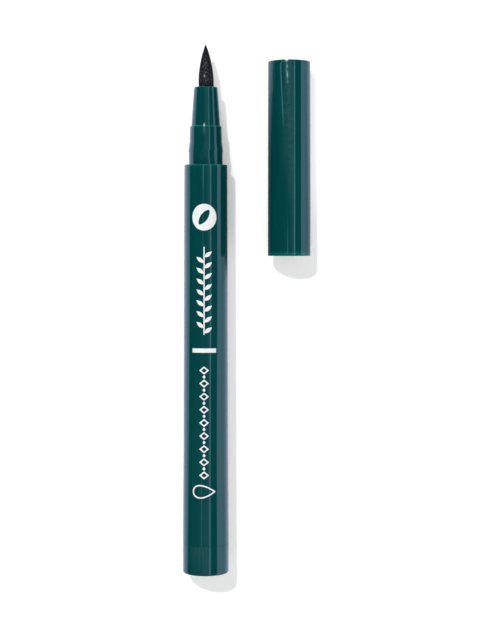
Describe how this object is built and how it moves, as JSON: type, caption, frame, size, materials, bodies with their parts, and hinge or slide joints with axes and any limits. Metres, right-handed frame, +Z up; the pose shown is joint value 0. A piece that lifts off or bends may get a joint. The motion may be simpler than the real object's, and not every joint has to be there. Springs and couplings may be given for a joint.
{
  "type": "felt-tip eyeliner pen",
  "caption": "Slim felt-tip eyeliner pen lying beside its cap: pointed felt nib in a stepped nose, tapering barrel with a flush tail plug, and a lined push-on cap.",
  "frame": {"origin": "on the surface that the pen and the cap lie on, under the middle of the pair's box", "axes": "+Y along the pen, from its tail to its tip; +X across, from the pen to the cap; +Z up from the surface"},
  "size_m": [0.0292, 0.1202, 0.0105],
  "materials": {
    "shell_plastic": "smooth gloss, moulded, dark blue-green",
    "liner_plastic": "soft natural white, moulded",
    "nib_felt": "bonded fibre, soaked black",
    "reservoir_fibre": "fibre bundle, soaked dark",
    "reservoir_wrap": "thin clear film"
  },
  "bodies": {
    "pen": {"barrel": "shell_plastic", "tail_plug": "shell_plastic", "nose_section": "shell_plastic", "nib": "nib_felt", "reservoir_core": "reservoir_fibre", "reservoir_film": "reservoir_wrap"},
    "cap": {"cap_shell": "shell_plastic", "inner_cap": "liner_plastic"}
  },
  "joints": [
    {"name": "cap_pull", "type": "slide", "parent": "pen", "child": "cap", "axis": [0, 1, 0], "range_m": [0, 0.0485]}
  ]
}
